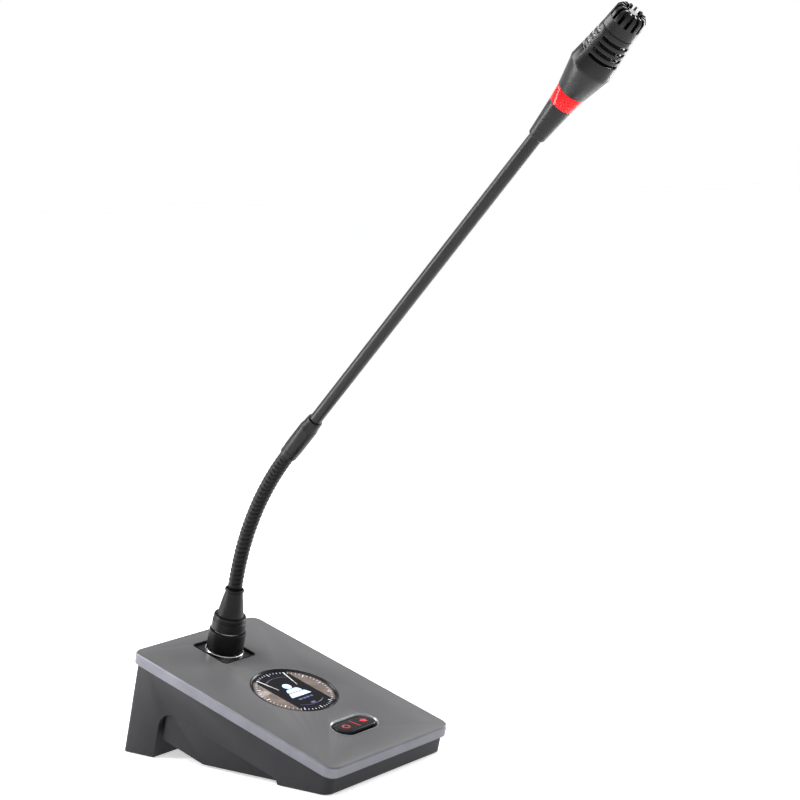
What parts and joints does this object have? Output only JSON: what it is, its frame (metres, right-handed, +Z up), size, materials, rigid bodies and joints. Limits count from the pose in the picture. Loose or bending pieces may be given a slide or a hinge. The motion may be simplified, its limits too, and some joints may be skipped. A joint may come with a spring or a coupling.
{
  "type": "gooseneck podium microphone",
  "caption": "Wedge-shaped desk unit with a round display and a two-way key, and a plug-in microphone on a bendable neck and straight stem with a light ring below its head.",
  "frame": {"origin": "centre of the front foot's underside, on the desk", "axes": "+X to the speaker's right, -Y towards the speaker, +Z up"},
  "size_m": [0.106, 0.3626, 0.4245],
  "materials": {
    "housing": "fine textured charcoal moulding",
    "cover": "fine textured charcoal moulding",
    "steel": "zinc-plated steel",
    "trim": "satin anodised aluminium",
    "plate": "grey anodised aluminium, fine satin grain",
    "rubber": "moulded rubber",
    "ballast": "mill-finish steel",
    "black_plastic": "black moulding",
    "chrome": "polished nickel plate",
    "contacts": "gold-plated brass",
    "bezel": "polished black moulding",
    "lens": "flat cover glass, gloss",
    "panel": "liquid crystal panel",
    "board": "green solder mask",
    "board_white": "white solder mask",
    "dish": "grey satin moulding",
    "switches": "switch housings",
    "key": "black satin moulding, lit symbols",
    "chips": "epoxy packages",
    "socket_plastic": "black moulding",
    "plug_metal": "nickel-plated brass",
    "mic_black": "black satin lacquer",
    "lock_black": "black satin lacquer",
    "boot_rubber": "black rubber",
    "neck": "black sheathed spiral",
    "stem": "black semi-gloss lacquer",
    "light_red": "translucent red acrylic, lit from inside",
    "head_black": "black satin lacquer",
    "screen": "fine woven wire",
    "capsule": "electret capsule case"
  },
  "bodies": {
    "desk_unit": {"housing": "housing", "bottom_cover": "cover", "cover_screws": "steel", "trim_band": "trim", "top_plate": "plate", "plate_screws": "steel", "front_foot": "rubber", "rear_foot": "rubber", "ballast_plate": "ballast", "ballast_screws": "steel", "socket_well": "black_plastic", "socket_ring": "chrome", "mic_socket": "black_plastic", "socket_contacts": "contacts", "display_bezel": "bezel", "display_lens": "lens", "display_panel": "panel", "display_board": "board", "key_dish": "dish", "key_axle": "steel", "key_board": "board", "key_switches": "switches", "main_board": "board", "board_chips": "chips", "board_studs": "steel", "board_screws": "steel", "line_sockets": "socket_plastic", "line_board": "board"},
    "key": {"key_cap": "key"},
    "mic_plug": {"plug_body": "plug_metal", "plug_pins": "contacts", "plug_collar": "mic_black", "plug_boot": "boot_rubber", "neck_base": "neck"},
    "lock": {"lock_ring": "lock_black"},
    "link_1": {"neck_link_1": "neck"},
    "link_2": {"neck_link_2": "neck"},
    "link_3": {"neck_link_3": "neck"},
    "link_4": {"neck_link_4": "neck"},
    "link_5": {"neck_link_5": "neck"},
    "link_6": {"neck_link_6": "neck"},
    "link_7": {"neck_link_7": "neck"},
    "link_8": {"neck_link_8": "neck"},
    "link_9": {"neck_link_9": "neck"},
    "mic_head": {"neck_tip": "neck", "coupling_sleeve": "mic_black", "stem_tube": "stem", "head_cone": "mic_black", "light_ring": "light_red", "light_board": "board_white", "head_barrel": "head_black", "crown_cap": "head_black", "head_screen": "screen", "capsule_mount": "boot_rubber", "capsule": "capsule"}
  },
  "joints": [
    {"name": "key_rock", "type": "hinge", "parent": "desk_unit", "child": "key", "pos_m": [0, 0.00187, 0.02205], "axis": [0, 0.9563, 0.2924], "range_deg": [-2.5, 2.5], "stiffness_Nm_per_rad": 0.12},
    {"name": "mic_unplug", "type": "slide", "parent": "desk_unit", "child": "mic_plug", "axis": [0, -0.2924, 0.9563], "range_m": [0, 0.03]},
    {"name": "lock_turn", "type": "hinge", "parent": "mic_plug", "child": "lock", "pos_m": [0, 0.10284, 0.06463], "axis": [0, -0.2924, 0.9563], "range_deg": [0, 120]},
    {"name": "neck_pitch_1", "type": "hinge", "parent": "mic_plug", "child": "link_1", "pos_m": [0, 0.08931, 0.10867], "axis": [1, 0, 0], "range_deg": [-12, 12]},
    {"name": "neck_sway_1", "type": "hinge", "parent": "link_1", "child": "link_2", "pos_m": [0, 0.08611, 0.11746], "axis": [0, 0.9306, 0.366], "range_deg": [-12, 12]},
    {"name": "neck_pitch_2", "type": "hinge", "parent": "link_2", "child": "link_3", "pos_m": [0, 0.08247, 0.12606], "axis": [1, 0, 0], "range_deg": [-12, 12]},
    {"name": "neck_sway_2", "type": "hinge", "parent": "link_3", "child": "link_4", "pos_m": [0, 0.07838, 0.13447], "axis": [0, 0.8876, 0.4607], "range_deg": [-12, 12]},
    {"name": "neck_pitch_3", "type": "hinge", "parent": "link_4", "child": "link_5", "pos_m": [0, 0.07386, 0.14265], "axis": [1, 0, 0], "range_deg": [-12, 12]},
    {"name": "neck_sway_3", "type": "hinge", "parent": "link_5", "child": "link_6", "pos_m": [0, 0.06892, 0.15059], "axis": [0, 0.8349, 0.5503], "range_deg": [-12, 12]},
    {"name": "neck_pitch_4", "type": "hinge", "parent": "link_6", "child": "link_7", "pos_m": [0, 0.06357, 0.15826], "axis": [1, 0, 0], "range_deg": [-12, 12]},
    {"name": "neck_sway_4", "type": "hinge", "parent": "link_7", "child": "link_8", "pos_m": [0, 0.05783, 0.16564], "axis": [0, 0.7733, 0.6341], "range_deg": [-12, 12]},
    {"name": "neck_pitch_5", "type": "hinge", "parent": "link_8", "child": "link_9", "pos_m": [0, 0.05172, 0.17272], "axis": [1, 0, 0], "range_deg": [-12, 12]},
    {"name": "neck_sway_5", "type": "hinge", "parent": "link_9", "child": "mic_head", "pos_m": [0, 0.04524, 0.17946], "axis": [0, 0.7033, 0.7109], "range_deg": [-12, 12]}
  ]
}
